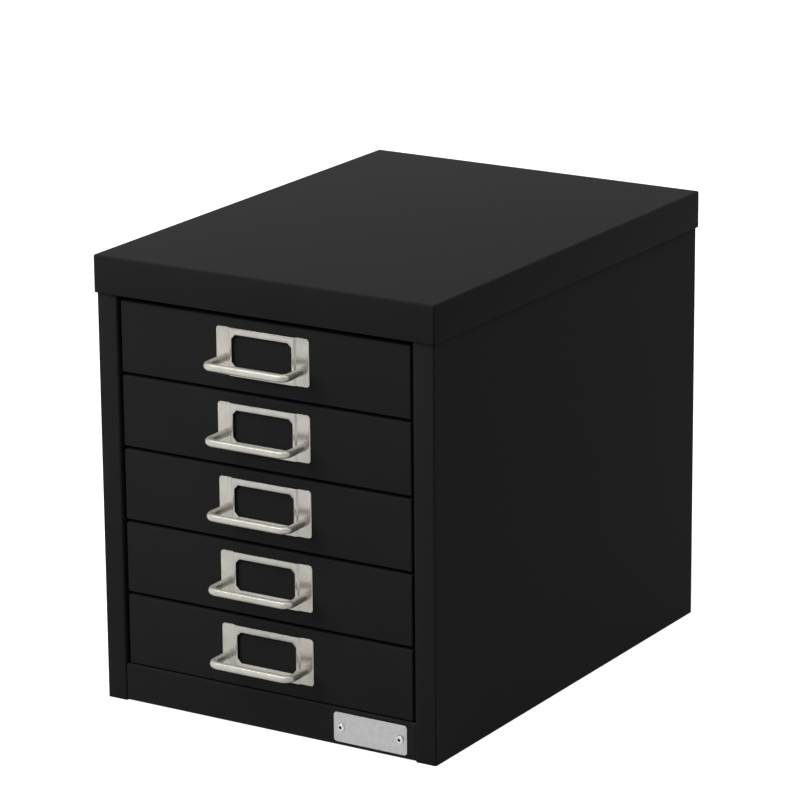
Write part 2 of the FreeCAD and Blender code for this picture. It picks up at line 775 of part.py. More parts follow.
make_cabinet()
for number in DRAWERS:
    make_drawer(number)
write_parts()
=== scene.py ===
"""Looks of a desktop cabinet of black sheet steel: five drawers with nickel pulls."""

import logging
import math
from dataclasses import dataclass
from enum import Enum
from typing import Any, Iterable

import bmesh
import bpy
from mathutils import Matrix, Vector


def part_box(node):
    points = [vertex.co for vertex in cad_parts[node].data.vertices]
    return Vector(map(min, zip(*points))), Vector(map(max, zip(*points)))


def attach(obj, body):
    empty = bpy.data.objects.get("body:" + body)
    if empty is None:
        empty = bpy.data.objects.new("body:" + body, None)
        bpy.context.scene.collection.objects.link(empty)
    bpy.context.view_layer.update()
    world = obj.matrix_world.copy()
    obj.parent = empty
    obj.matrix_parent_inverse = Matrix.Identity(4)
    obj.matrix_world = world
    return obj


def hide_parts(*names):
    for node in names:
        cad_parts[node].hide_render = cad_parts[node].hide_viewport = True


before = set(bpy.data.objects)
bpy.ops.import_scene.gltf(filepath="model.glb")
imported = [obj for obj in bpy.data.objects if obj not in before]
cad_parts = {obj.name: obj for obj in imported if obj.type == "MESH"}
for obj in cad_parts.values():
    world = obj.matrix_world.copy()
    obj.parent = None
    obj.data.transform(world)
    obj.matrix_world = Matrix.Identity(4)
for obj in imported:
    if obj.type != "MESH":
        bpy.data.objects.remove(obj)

LOG = logging.getLogger("cabinet")
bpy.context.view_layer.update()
DRAWERS = range(1, 6)
SIDES = (-1, 1)
MM = 0.001
NEAR = 0.01 * MM
QUARTER = math.radians(90)
# Folds and round parts are shaded smooth below the first angle, and edges sharper
# than the second one get a small rounding
SMOOTH_ANGLE = math.radians(32)
SHARP_ANGLE = math.radians(50)
# Share of a face's normal along Y from which the face counts as front or back
FRONT_SHARE = 0.2


class Element(Enum):
    """Kinds of mesh element that are picked in edit mode."""

    VERTEX = "VERT"
    EDGE = "EDGE"
    FACE = "FACE"


class Facing(Enum):
    """Ways that a new plane faces, as the turn that a flat plane gets."""

    UP = (0.0, 0.0, 0.0)
    FRONT = (QUARTER, 0.0, 0.0)
    RIGHT = (QUARTER, 0.0, QUARTER)


# Colours and nodes


def linear(colour: str) -> tuple[float, float, float, float]:
    """Turns an sRGB hex colour into the linear values that a socket takes.

    Args:
        colour: Six hex digits after a hash.

    Returns:
        Red, green, blue and an alpha of 1.
    """
    parts = [int(colour[place : place + 2], 16) / 255 for place in (1, 3, 5)]
    red, green, blue = (
        part / 12.92 if part <= 0.04045 else ((part + 0.055) / 1.055) ** 2.4
        for part in parts
    )
    return (red, green, blue, 1.0)


def per_metre(grain: float) -> float:
    """Noise scale for a grain size in millimetres."""
    return 1.0 / (grain * MM)


def add_node(
    tree: bpy.types.NodeTree,
    kind: str,
    settings: dict[str, Any] | None = None,
    inputs: dict[str | int, Any] | None = None,
) -> bpy.types.Node:
    """Adds a node with its settings, socket values and links.

    Args:
        tree: Tree that the node goes into.
        kind: Blender's name of the node type.
        settings: Values for the node's own properties.
        inputs: Values for its sockets; an output socket there is linked.

    Returns:
        The new node.
    """
    node = tree.nodes.new(kind)
    for name, value in (settings or {}).items():
        setattr(node, name, value)
    for name, value in (inputs or {}).items():
        if isinstance(value, bpy.types.NodeSocket):
            tree.links.new(value, node.inputs[name])
        else:
            node.inputs[name].default_value = value
    return node


def new_material(name: str) -> tuple[bpy.types.Material, bpy.types.NodeTree]:
    """Starts an empty node material.

    Args:
        name: Name of the material.

    Returns:
        The material and its node tree.
    """
    material = bpy.data.materials.new(name)
    material.use_nodes = True
    material.node_tree.nodes.clear()
    return material, material.node_tree


def set_colour_stops(ramp: bpy.types.Node, stops: Iterable[tuple[float, str]]) -> None:
    """Gives a colour ramp its stops.

    Args:
        ramp: Colour ramp node.
        stops: Place and sRGB hex colour of each of its two stops.
    """
    for element, (place, colour) in zip(ramp.color_ramp.elements, stops):
        element.position = place
        element.color = linear(colour)


def seen_directly(tree: bpy.types.NodeTree) -> bpy.types.NodeSocket:
    """Tells rays that show a thing to the eye from rays that only carry light.

    Args:
        tree: Tree that the nodes go into.

    Returns:
        Socket with 1 for camera, glossy and transmission rays, and 0 for others.
    """
    rays = add_node(tree, "ShaderNodeLightPath")
    seen = rays.outputs["Is Camera Ray"]
    for kind in ("Is Glossy Ray", "Is Transmission Ray"):
        seen = add_node(
            tree,
            "ShaderNodeMath",
            {"operation": "MAXIMUM"},
            {0: seen, 1: rays.outputs[kind]},
        ).outputs["Value"]
    return seen


# Finishes


@dataclass(frozen=True)
class PowderCoat:
    """Epoxy powder coat, sprayed and baked.

    It gives the eye a matt black skin that shows the lamps only as a soft sheen, with
    the faint waves of orange peel close up and slightly dusty clouds from afar. The
    sheen is the specular level, matched to the photograph, where the coat stays black
    from every side. Lengths and depths are in millimetres.
    """

    name: str
    shade: str
    shade_dusty: str
    roughness: float = 0.7
    roughness_spread: float = 0.03
    sheen: float = 0.05
    # Distance between the waves of the orange peel
    peel: float = 1.7
    peel_detail: float = 1.5
    peel_depth: float = 0.010
    # Size of the dusty patches
    cloud: float = 60.0
    cloud_detail: float = 3.0
    cloud_reach: tuple[float, float] = (0.35, 0.7)

    def build(self) -> bpy.types.Material:
        """Builds the coat's material.

        Returns:
            The material.
        """
        material, tree = new_material(self.name)
        place = add_node(tree, "ShaderNodeTexCoord").outputs["Object"]
        cloud = add_node(
            tree,
            "ShaderNodeTexNoise",
            inputs={
                "Vector": place,
                "Scale": per_metre(self.cloud),
                "Detail": self.cloud_detail,
            },
        )
        tint = add_node(
            tree, "ShaderNodeValToRGB", inputs={"Fac": cloud.outputs["Fac"]}
        )
        set_colour_stops(tint, zip(self.cloud_reach, (self.shade, self.shade_dusty)))
        gloss = add_node(
            tree,
            "ShaderNodeMapRange",
            inputs={
                "Value": cloud.outputs["Fac"],
                "To Min": self.roughness - self.roughness_spread,
                "To Max": self.roughness + self.roughness_spread,
            },
        )
        # The droplets of the powder flow together into a skin with faint waves
        peel = add_node(
            tree,
            "ShaderNodeTexNoise",
            inputs={
                "Vector": place,
                "Scale": per_metre(self.peel),
                "Detail": self.peel_detail,
            },
        )
        bump = add_node(
            tree,
            "ShaderNodeBump",
            inputs={
                "Height": peel.outputs["Fac"],
                "Distance": self.peel_depth * MM,
                "Strength": 1.0,
            },
        )
        shader = add_node(
            tree,
            "ShaderNodeBsdfPrincipled",
            inputs={
                "Base Color": tint.outputs["Color"],
                "Roughness": gloss.outputs["Result"],
                "Specular IOR Level": self.sheen,
                "Normal": bump.outputs["Normal"],
            },
        )
        add_node(
            tree,
            "ShaderNodeOutputMaterial",
            inputs={"Surface": shader.outputs["BSDF"]},
        )
        return material


@dataclass(frozen=True)
class MetalFinish:
    """Bare or plated metal with fine marks, polished, rolled or drawn.

    It gives the eye a soft mirror whose highlights are drawn out by the marks, and a
    slight change of tone from place to place. The marks are drawn coarser than real
    ones, which are too fine to show, and are given by their size along X, Y and Z.
    Scatter is the share of light that they throw every way: a pure mirror would show
    the black fronts as black holes in the metal. Lengths and depths are in
    millimetres.
    """

    name: str
    colour: str
    colour_dull: str
    roughness: float
    roughness_spread: float
    marks: tuple[float, float, float]
    marks_depth: float
    marks_detail: float = 3.0
    scatter: float = 0.0
    cloud: float = 9.0
    cloud_detail: float = 2.0
    cloud_reach: tuple[float, float] = (0.3, 0.75)

    def build(self) -> bpy.types.Material:
        """Builds the metal's material.

        Returns:
            The material.
        """
        material, tree = new_material(self.name)
        place = add_node(tree, "ShaderNodeTexCoord").outputs["Object"]
        stretched = add_node(
            tree,
            "ShaderNodeMapping",
            inputs={
                "Vector": place,
                "Scale": tuple(per_metre(length) for length in self.marks),
            },
        )
        marks = add_node(
            tree,
            "ShaderNodeTexNoise",
            inputs={
                "Vector": stretched.outputs["Vector"],
                "Scale": 1.0,
                "Detail": self.marks_detail,
            },
        )
        cloud = add_node(
            tree,
            "ShaderNodeTexNoise",
            inputs={
                "Vector": place,
                "Scale": per_metre(self.cloud),
                "Detail": self.cloud_detail,
            },
        )
        tint = add_node(
            tree, "ShaderNodeValToRGB", inputs={"Fac": cloud.outputs["Fac"]}
        )
        set_colour_stops(tint, zip(self.cloud_reach, (self.colour, self.colour_dull)))
        gloss = add_node(
            tree,
            "ShaderNodeMapRange",
            inputs={
                "Value": marks.outputs["Fac"],
                "To Min": self.roughness - self.roughness_spread,
                "To Max": self.roughness + self.roughness_spread,
            },
        )
        bump = add_node(
            tree,
            "ShaderNodeBump",
            inputs={
                "Height": marks.outputs["Fac"],
                "Distance": self.marks_depth * MM,
                "Strength": 1.0,
            },
        )
        shader = add_node(
            tree,
            "ShaderNodeBsdfPrincipled",
            inputs={
                "Base Color": tint.outputs["Color"],
                "Metallic": 1.0 - self.scatter,
                "Roughness": gloss.outputs["Result"],
                "Normal": bump.outputs["Normal"],
            },
        )
        add_node(
            tree,
            "ShaderNodeOutputMaterial",
            inputs={"Surface": shader.outputs["BSDF"]},
        )
        return material


@dataclass(frozen=True)
class StudioFloor:
    """White paper sweep.

    It gives the eye a white ground with a faint shadow under the cabinet. The metal
    mirrors it greyer, and it throws little light back, as paper does that is lit less
    beyond the picture.
    """

    name: str = "white_paper"
    paper: str = "#c4c4c4"
    bounce: str = "#7c7c7c"
    shadow_share: float = 0.2
    mirrored: float = 0.35

    def build(self) -> bpy.types.Material:
        """Builds the paper's material.

        Returns:
            The material.
        """
        material, tree = new_material(self.name)
        paper = add_node(
            tree, "ShaderNodeBsdfDiffuse", inputs={"Color": linear(self.paper)}
        )
        bounce = add_node(
            tree, "ShaderNodeBsdfDiffuse", inputs={"Color": linear(self.bounce)}
        )
        strength = add_node(
            tree,
            "ShaderNodeMapRange",
            inputs={
                "Value": add_node(tree, "ShaderNodeLightPath").outputs["Is Glossy Ray"],
                "To Min": 1.0 - self.shadow_share,
                "To Max": self.mirrored,
            },
        )
        glow = add_node(
            tree, "ShaderNodeEmission", inputs={"Strength": strength.outputs["Result"]}
        )
        shown = add_node(
            tree,
            "ShaderNodeAddShader",
            inputs={0: glow.outputs["Emission"], 1: paper.outputs["BSDF"]},
        )
        surface = add_node(
            tree,
            "ShaderNodeMixShader",
            inputs={
                "Fac": seen_directly(tree),
                1: bounce.outputs["BSDF"],
                2: shown.outputs["Shader"],
            },
        )
        add_node(
            tree,
            "ShaderNodeOutputMaterial",
            inputs={"Surface": surface.outputs["Shader"]},
        )
        return material


# An even matt black, as wide sheets of powder coat look in soft light
OUTER_COAT = PowderCoat("black_powder_coat", "#1d1d1d", "#1f1f1f")
# The same coat painted darker as painted shade, for the parts inside the carcass that
# little light reaches, so the gaps between the drawers stay black
PAINTED_SHADE_COAT = PowderCoat("black_powder_coat_painted_shade", "#171717", "#191919")
# Bright nickel on rolled sheet: a warm grey with soft reflections and faint upright
# streaks
PLATE_NICKEL = MetalFinish(
    name="bright_nickel_plate",
    colour="#b6b4ad",
    colour_dull="#aaa8a0",
    roughness=0.24,
    roughness_spread=0.05,
    marks=(0.5, 0.5, 3.0),
    marks_depth=0.002,
    scatter=0.2,
)
# Bright nickel on drawn rod: lighter and smoother, with a long highlight and fine
# lines along the bar
ROD_NICKEL = MetalFinish(
    name="bright_nickel_rod",
    colour="#c4c1b9",
    colour_dull="#b6b3aa",
    roughness=0.19,
    roughness_spread=0.06,
    marks=(8.0, 1.0, 0.35),
    marks_depth=0.004,
    scatter=0.55,
)
# Satin aluminium sheet: a neutral light grey without mirror images, finely mottled
SATIN_ALUMINIUM = MetalFinish(
    name="satin_aluminium",
    colour="#c6c6c6",
    colour_dull="#b9b9b9",
    roughness=0.36,
    roughness_spread=0.08,
    marks=(1.2, 0.6, 0.6),
    marks_depth=0.006,
    cloud=4.0,
)
# Bright aluminium, rolled over in the press: a small sharp glint on each rivet head
BRIGHT_ALUMINIUM = MetalFinish(
    name="bright_aluminium",
    colour="#e2e2e2",
    colour_dull="#dadada",
    roughness=0.2,
    roughness_spread=0.04,
    marks=(1.0, 1.0, 1.0),
    marks_depth=0.002,
)
# Zinc plate on turned steel: a cool, slightly blue grey with a dull shine
ZINC_PLATE = MetalFinish(
    name="zinc_plate",
    colour="#c3c5c9",
    colour_dull="#b4b7bd",
    roughness=0.3,
    roughness_spread=0.06,
    marks=(0.6, 0.6, 0.6),
    marks_depth=0.003,
)


# Modelling


def deselect_all() -> None:
    """Clears the selection, which holds the CAD nodes after loading."""
    bpy.ops.object.select_all(action="DESELECT")


def make_active(piece: bpy.types.Object) -> None:
    """Selects a piece alone and makes it the active one.

    Args:
        piece: Piece that the next operators work on.
    """
    deselect_all()
    bpy.context.view_layer.objects.active = piece
    piece.select_set(True)


def enter(piece: bpy.types.Object) -> None:
    """Opens a piece in edit mode with nothing selected.

    Args:
        piece: Piece to edit.
    """
    make_active(piece)
    bpy.ops.object.mode_set(mode="EDIT")
    bpy.ops.mesh.select_all(action="DESELECT")


def leave() -> None:
    """Goes back to object mode."""
    bpy.ops.object.mode_set(mode="OBJECT")


def settle(name: str, scale: Iterable[float] = (1.0, 1.0, 1.0)) -> bpy.types.Object:
    """Names the new primitive, scales it and writes its place into its mesh.

    Args:
        name: Name of the piece.
        scale: Factor along each of its own axes.

    Returns:
        The new piece.
    """
    piece = bpy.context.object
    piece.name = name
    piece.data.name = name
    piece.scale = scale
    bpy.ops.object.transform_apply(location=True, rotation=True, scale=True)
    return piece


def add_plane(
    name: str, centre: Vector, width: float, height: float, facing: Facing
) -> bpy.types.Object:
    """Adds a rectangle whose place and size are in its mesh.

    Args:
        name: Name of the piece.
        centre: Middle of the rectangle, in metres.
        width: Its level side.
        height: Its other side.
        facing: Way that it faces.

    Returns:
        The new piece.
    """
    deselect_all()
    bpy.ops.mesh.primitive_plane_add(size=1, location=centre, rotation=facing.value)
    return settle(name, (width, height, 1.0))


def add_block(name: str, low: Vector, high: Vector) -> bpy.types.Object:
    """Adds a box between two corners, with its place and size in its mesh.

    Args:
        name: Name of the piece.
        low: Corner with the lowest values.
        high: Corner with the highest values.

    Returns:
        The new piece.
    """
    deselect_all()
    bpy.ops.mesh.primitive_cube_add(size=1, location=(low + high) / 2)
    return settle(name, high - low)


def add_disc(
    name: str, centre: Vector, radius: float, corners: int, filled: bool = True
) -> bpy.types.Object:
    """Adds a circle that faces the front.

    Args:
        name: Name of the piece.
        centre: Middle of the circle, in metres.
        radius: Its radius.
        corners: Number of its corners.
        filled: Whether it is a disc or only a ring of edges.

    Returns:
        The new piece.
    """
    deselect_all()
    bpy.ops.mesh.primitive_circle_add(
        vertices=corners,
        radius=radius,
        fill_type="NGON" if filled else "NOTHING",
        location=centre,
        rotation=Facing.FRONT.value,
    )
    return settle(name)


def lies_at(corners: list[Vector], place: dict[str, float]) -> bool:
    """Tells whether corners all lie at a place.

    Args:
        corners: Corners of an element.
        place: x, y or z that all corners have, or mid_x, mid_y or mid_z of their
            middle.

    Returns:
        True where every named value fits.
    """
    middle = sum(corners, Vector()) / len(corners)
    for name, value in place.items():
        axis = "xyz".index(name[-1])
        if name.startswith("mid_"):
            if abs(middle[axis] - value) > NEAR:
                return False
        elif any(abs(corner[axis] - value) > NEAR for corner in corners):
            return False
    return True


def pick(piece: bpy.types.Object, kind: Element, *places: dict[str, float]) -> None:
    """Selects the elements that lie at any of some places, and nothing else.

    Args:
        piece: Piece in edit mode.
        kind: Kind of element.
        places: Places as lies_at reads them.

    Raises:
        ValueError: If nothing lies there.
    """
    bpy.ops.mesh.select_mode(type=kind.value)
    bpy.ops.mesh.select_all(action="DESELECT")
    mesh = bmesh.from_edit_mesh(piece.data)
    elements = {
        Element.VERTEX: mesh.verts,
        Element.EDGE: mesh.edges,
        Element.FACE: mesh.faces,
    }[kind]
    found = 0
    for element in elements:
        vertices = [element] if kind is Element.VERTEX else element.verts
        corners = [vertex.co.copy() for vertex in vertices]
        if any(lies_at(corners, place) for place in places):
            element.select_set(True)
            found += 1
    mesh.select_flush_mode()
    bmesh.update_edit_mesh(piece.data)
    if not found:
        raise ValueError(f"{piece.name}: no {kind.name.lower()} at {places}")


def pick_front_rim(piece: bpy.types.Object) -> None:
    """Selects the sharp edges around the front of a plate.

    Args:
        piece: Plate in edit mode that has its wall.
    """
    bpy.ops.mesh.select_mode(type=Element.EDGE.value)
    bpy.ops.mesh.select_all(action="DESELECT")
    mesh = bmesh.from_edit_mesh(piece.data)
    for edge in mesh.edges:
        ways = [face.normal.y for face in edge.link_faces]
        sharp = edge.calc_face_angle(0.0) > SHARP_ANGLE
        if sharp and min(ways) < -FRONT_SHARE and max(ways) < FRONT_SHARE:
            edge.select_set(True)
    mesh.select_flush_mode()
    bmesh.update_edit_mesh(piece.data)


def pick_all(kind: Element) -> None:
    """Selects everything in edit mode, as elements of one kind."""
    bpy.ops.mesh.select_mode(type=kind.value)
    bpy.ops.mesh.select_all(action="SELECT")


def at_corners(
    first: str, firsts: Iterable[float], second: str, seconds: Iterable[float]
) -> list[dict[str, float]]:
    """Places where each value of one axis meets each value of another.

    Args:
        first: Name of the one axis.
        firsts: Its values.
        second: Name of the other axis.
        seconds: Its values.

    Returns:
        Places as lies_at reads them.
    """
    return [{first: one, second: other} for one in firsts for other in seconds]


def extrude_edges(way: tuple[float, float, float]) -> None:
    """Draws new faces out of the selected edges."""
    bpy.ops.mesh.extrude_edges_move(TRANSFORM_OT_translate={"value": way})


def cut(place: tuple[float, float, float], normal: tuple[float, float, float]) -> None:
    """Cuts the whole mesh along a plane and keeps both sides."""
    bpy.ops.mesh.select_all(action="SELECT")
    bpy.ops.mesh.bisect(plane_co=place, plane_no=normal)


def bevel(offset: float, steps: int, kind: Element = Element.EDGE) -> None:
    """Rounds the selected edges, or the selected corners of a flat sheet."""
    affect = "VERTICES" if kind is Element.VERTEX else "EDGES"
    bpy.ops.mesh.bevel(offset=offset, segments=steps, affect=affect)


def open_face(piece: bpy.types.Object, place: dict[str, float]) -> None:
    """Takes one side off a box in edit mode, as a folded lid or pan is open there."""
    pick(piece, Element.FACE, place)
    bpy.ops.mesh.delete(type="ONLY_FACE")


def use_modifier(piece: bpy.types.Object, kind: str, **settings: Any) -> None:
    """Adds a modifier with its settings and applies it.

    Args:
        piece: Piece to change.
        kind: Blender's name of the modifier type.
        settings: Values for its properties.
    """
    make_active(piece)
    modifier = piece.modifiers.new(kind.title(), kind)
    for name, value in settings.items():
        setattr(modifier, name, value)
    bpy.ops.object.modifier_apply(modifier=modifier.name)


def thicken(piece: bpy.types.Object, gauge: float) -> None:
    """Gives a sheet its wall, on the side that its faces turn away from.

    Args:
        piece: Open sheet whose faces look outwards.
        gauge: Thickness of the wall.
    """
    use_modifier(
        piece,
        "SOLIDIFY",
        thickness=gauge,
        offset=-1.0,
        use_even_offset=True,
        use_quality_normals=True,
    )


def round_front_rim(piece: bpy.types.Object, width: float, steps: int) -> None:
    """Rounds the edge around the front of a plate, as stamping leaves it.

    Args:
        piece: Plate that has its wall.
        width: Width of the rounding.
        steps: Faces across it.
    """
    enter(piece)
    pick_front_rim(piece)
    bevel(width, steps)
    leave()


def soften(piece: bpy.types.Object, edge: float) -> None:
    """Rounds what is still sharp by a little, then shades curved places smooth.

    Args:
        piece: Closed piece.
        edge: Width of the rounding.
    """
    use_modifier(
        piece,
        "BEVEL",
        width=edge,
        segments=2,
        limit_method="ANGLE",
        angle_limit=SHARP_ANGLE,
        use_clamp_overlap=True,
    )
    shade(piece)


def shade(piece: bpy.types.Object) -> None:
    """Shades curved places smooth and leaves edges crisp."""
    make_active(piece)
    bpy.ops.object.shade_smooth_by_angle(angle=SMOOTH_ANGLE)


def face_outwards(piece: bpy.types.Object) -> None:
    """Merges doubled corners and turns a closed piece's faces outwards.

    Args:
        piece: Closed piece.
    """
    enter(piece)
    bpy.ops.mesh.select_all(action="SELECT")
    bpy.ops.mesh.remove_doubles(threshold=NEAR)
    bpy.ops.mesh.normals_make_consistent(inside=False)
    leave()


def flip(piece: bpy.types.Object) -> None:
    """Turns all faces of a piece the other way.

    Args:
        piece: Piece to turn inside out.
    """
    enter(piece)
    bpy.ops.mesh.select_all(action="SELECT")
    bpy.ops.mesh.flip_normals()
    leave()


def turn_towards(piece: bpy.types.Object, way: Vector) -> None:
    """Flips an open sheet if its largest face looks away from a direction.

    Args:
        piece: Open sheet.
        way: Direction that it has to look in.
    """
    largest = max(piece.data.polygons, key=lambda face: face.area)
    if largest.normal.dot(way) < 0:
        flip(piece)


def cut_out(piece: bpy.types.Object, cutter: bpy.types.Object) -> None:
    """Takes a cutter out of a piece and removes the cutter.

    Args:
        piece: Piece to cut.
        cutter: Closed shape of what is taken out.
    """
    settings = {"object": cutter, "operation": "DIFFERENCE", "solver": "EXACT"}
    use_modifier(piece, "BOOLEAN", **settings)
    bpy.data.objects.remove(cutter)


def copy_of(piece: bpy.types.Object, name: str, shift: Vector) -> bpy.types.Object:
    """Copies a piece with its own mesh, moved in the mesh.

    Args:
        piece: Finished piece.
        name: Name of the copy.
        shift: Way from the piece to the copy.

    Returns:
        The copy.
    """
    twin = piece.copy()
    twin.data = piece.data.copy()
    twin.name = name
    twin.data.name = name
    twin.data.transform(Matrix.Translation(shift))
    bpy.context.scene.collection.objects.link(twin)
    return twin


def mirrored(piece: bpy.types.Object, name: str) -> bpy.types.Object:
    """Copies a piece to the other side of the cabinet.

    Args:
        piece: Finished piece.
        name: Name of the copy.

    Returns:
        The copy.
    """
    twin = copy_of(piece, name, Vector())
    twin.data.transform(Matrix.Scale(-1, 4, (1, 0, 0)))
    flip(twin)
    return twin


def join(piece: bpy.types.Object, other: bpy.types.Object) -> None:
    """Makes another piece part of the first one.

    Args:
        piece: Piece that stays.
        other: Piece that goes into it.
    """
    make_active(piece)
    other.select_set(True)
    bpy.ops.object.join()


def draw_out(
    piece: bpy.types.Object,
    centre: Vector,
    height: float,
    profile: Iterable[tuple[float, float]],
) -> None:
    """Draws a disc out along Y through rings, into a closed turned shape.

    Args:
        piece: Filled circle.
        centre: Its middle.
        height: Height of the shape, below 0 where it stands to the front.
        profile: Rings, as shares of the circle's radius and of the height.
    """
    enter(piece)
    pick_all(Element.FACE)
    last_share, last_level = 1.0, 0.0
    for share, level in profile:
        rise = (level - last_level) * height
        bpy.ops.mesh.extrude_region_move(TRANSFORM_OT_translate={"value": (0, rise, 0)})
        factor = share / last_share
        bpy.ops.transform.resize(value=(factor, 1, factor), center_override=centre)
        last_share, last_level = share, level
    leave()
    face_outwards(piece)


def dress(
    piece: bpy.types.Object,
    material: bpy.types.Material,
    body: str,
    node: str,
) -> None:
    """Gives a piece its finish and says what it rides on and stands for.

    Args:
        piece: Finished piece.
        material: Its material.
        body: CAD body that it moves with.
        node: CAD node that it stands for.
    """
    piece.data.materials.clear()
    piece.data.materials.append(material)
    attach(piece, body)
    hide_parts(node)
    LOG.info("%s: %d faces on %s", piece.name, len(piece.data.polygons), body)


def dress_node(name: str, material: bpy.types.Material) -> None:
    """Gives a CAD node that stays its finish.

    Args:
        name: Name of the node.
        material: Its material.
    """
    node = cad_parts[name]
    if not node.material_slots:
        node.data.materials.append(material)
    for slot in node.material_slots:
        slot.material = material
    LOG.info("%s: CAD node in %s", name, material.name)


# Carcass


@dataclass
class TopCap:
    """Lid folded from one sheet, its skirt pushed over the carcass."""

    coat: bpy.types.Material
    sheet: float = 1.2 * MM
    fold_radius: float = 1.6 * MM
    fold_steps: int = 6
    cut_edge: float = 0.2 * MM

    def build(self) -> None:
        """Builds the lid."""
        low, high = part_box("top_cap")
        piece = add_block("cap_lid", low, high)
        enter(piece)
        open_face(piece, {"z": low.z})
        corners = at_corners("x", (low.x, high.x), "y", (low.y, high.y))
        pick(piece, Element.EDGE, {"z": high.z}, *corners)
        bevel(self.fold_radius, self.fold_steps)
        leave()
        thicken(piece, self.sheet)
        soften(piece, self.cut_edge)
        dress(piece, self.coat, "cabinet", "top_cap")


@dataclass
class SidePanel:
    """Side wall with its front stile, the stile's return and three flanges."""

    coat: bpy.types.Material
    sheet: float = 1.0 * MM
    fold_radius: float = 1.6 * MM
    fold_steps: int = 6
    stile_return: float = 14.0 * MM
    rear_flange: float = 15.0 * MM
    edge_flange: float = 12.0 * MM
    notch: float = 3.0 * MM
    cut_edge: float = 0.2 * MM

    def build(self) -> None:
        """Builds the right panel and its mirrored twin."""
        low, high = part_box("right_side_panel")
        wall, middle = high.x, (low + high) / 2
        piece = add_plane(
            "right_wall",
            Vector((wall, middle.y, middle.z)),
            high.y - low.y,
            high.z - low.z,
            Facing.RIGHT,
        )
        enter(piece)
        # The flanges along the top and bottom stop short of the upright folds
        cut((0, low.y + self.notch, 0), (0, 1, 0))
        cut((0, high.y - self.notch, 0), (0, 1, 0))
        pick(piece, Element.EDGE, {"x": wall, "y": low.y})
        extrude_edges((low.x - wall, 0, 0))
        extrude_edges((0, self.stile_return, 0))
        pick(piece, Element.EDGE, {"x": wall, "y": high.y})
        extrude_edges((-self.rear_flange, 0, 0))
        for height in (low.z, high.z):
            pick(piece, Element.EDGE, {"x": wall, "z": height, "mid_y": middle.y})
            extrude_edges((-self.edge_flange, 0, 0))
        folds = (
            {"x": wall, "y": low.y},
            {"x": low.x, "y": low.y},
            {"x": wall, "y": high.y},
        )
        pick(piece, Element.EDGE, *folds)
        bevel(self.fold_radius, self.fold_steps)
        leave()
        turn_towards(piece, Vector((1, 0, 0)))
        thicken(piece, self.sheet)
        soften(piece, self.cut_edge)
        twin = mirrored(piece, "left_wall")
        dress(piece, self.coat, "cabinet", "right_side_panel")
        dress(twin, self.coat, "cabinet", "left_side_panel")


@dataclass
class Nameplate:
    """Blank plate stamped from thin aluminium, with a fine rim and two rivets."""

    alloy: bpy.types.Material
    rivet: bpy.types.Material
    # Darker coat painted into the rivet holes as shade
    hole_shade: bpy.types.Material
    corner_radius: float = 2.5 * MM
    corner_steps: int = 8
    rim: float = 0.6 * MM
    rim_slope: float = 0.45 * MM
    rim_height: float = 0.25 * MM
    rolled_edge: float = 0.4 * MM
    rolled_steps: int = 4
    cut_edge: float = 0.08 * MM
    rivet_corners: int = 40
    hole_radius: float = 1.1 * MM
    hole_lip: float = 0.15 * MM
    # Rings of the rolled head, as shares of its radius and of its height
    rolled_head: tuple[tuple[float, float], ...] = (
        (1.0, 0.15),
        (0.95, 0.45),
        (0.84, 0.74),
        (0.70, 0.93),
        (0.56, 1.0),
    )
    # Heights of the lip, the hole's edge and its bottom, as shares of the head's
    lip_level: float = 0.95
    hole_level: float = 0.78
    bottom_level: float = 0.1
    # The hole's bottom is a little narrower than its edge
    bottom_share: float = 0.92

    def build(self) -> None:
        """Builds the plate and its two rivets."""
        self.build_plate()
        self.build_rivets()

    def build_plate(self) -> None:
        """Builds the plate, its middle pressed back behind the rim."""
        low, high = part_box("nameplate")
        middle = (low + high) / 2
        piece = add_plane(
            "badge_plate",
            Vector((middle.x, low.y, middle.z)),
            high.x - low.x,
            high.z - low.z,
            Facing.FRONT,
        )
        enter(piece)
        pick(piece, Element.VERTEX, {"y": low.y})
        bevel(self.corner_radius, self.corner_steps, Element.VERTEX)
        pick_all(Element.FACE)
        bpy.ops.mesh.inset(thickness=self.rim)
        bpy.ops.mesh.inset(thickness=self.rim_slope)
        bpy.ops.transform.translate(value=(0, self.rim_height, 0))
        leave()
        turn_towards(piece, Vector((0, -1, 0)))
        thicken(piece, high.y - low.y)
        round_front_rim(piece, self.rolled_edge, self.rolled_steps)
        soften(piece, self.cut_edge)
        dress(piece, self.alloy, "cabinet", "nameplate")

    def build_rivets(self) -> None:
        """Builds the two hollow rivets' rolled heads as one piece."""
        low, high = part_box("nameplate_rivets")
        radius = (high.z - low.z) / 2
        pitch = high.x - low.x - 2 * radius
        centre = Vector((low.x + radius, high.y, (low.z + high.z) / 2))
        piece = add_disc("badge_rivets", centre, radius, self.rivet_corners)
        hole, lip = self.hole_radius / radius, self.hole_lip / radius
        profile = (
            *self.rolled_head,
            (hole + lip, self.lip_level),
            (hole, self.hole_level),
            (self.bottom_share * hole, self.bottom_level),
        )
        draw_out(piece, centre, low.y - high.y, profile)
        shade(piece)
        join(piece, copy_of(piece, "rivet_copy", Vector((pitch, 0, 0))))
        dress(piece, self.rivet, "cabinet", "nameplate_rivets")
        self.paint_hole_shade(piece, (low + high) / 2, pitch)

    def paint_hole_shade(
        self, piece: bpy.types.Object, middle: Vector, pitch: float
    ) -> None:
        """Paints shade into each hole: its bottom and wall get the darker coat, as
        painted shade.

        Args:
            piece: The joined heads.
            middle: Point halfway between them.
            pitch: Distance between them.
        """
        # Painted shade: the faces down in each hole get the darker coat
        piece.data.materials.append(self.hole_shade)
        for face in piece.data.polygons:
            across = abs(face.center.x - middle.x) - pitch / 2
            up = face.center.z - middle.z
            if math.hypot(across, up) < self.hole_radius:
                face.material_index = 1


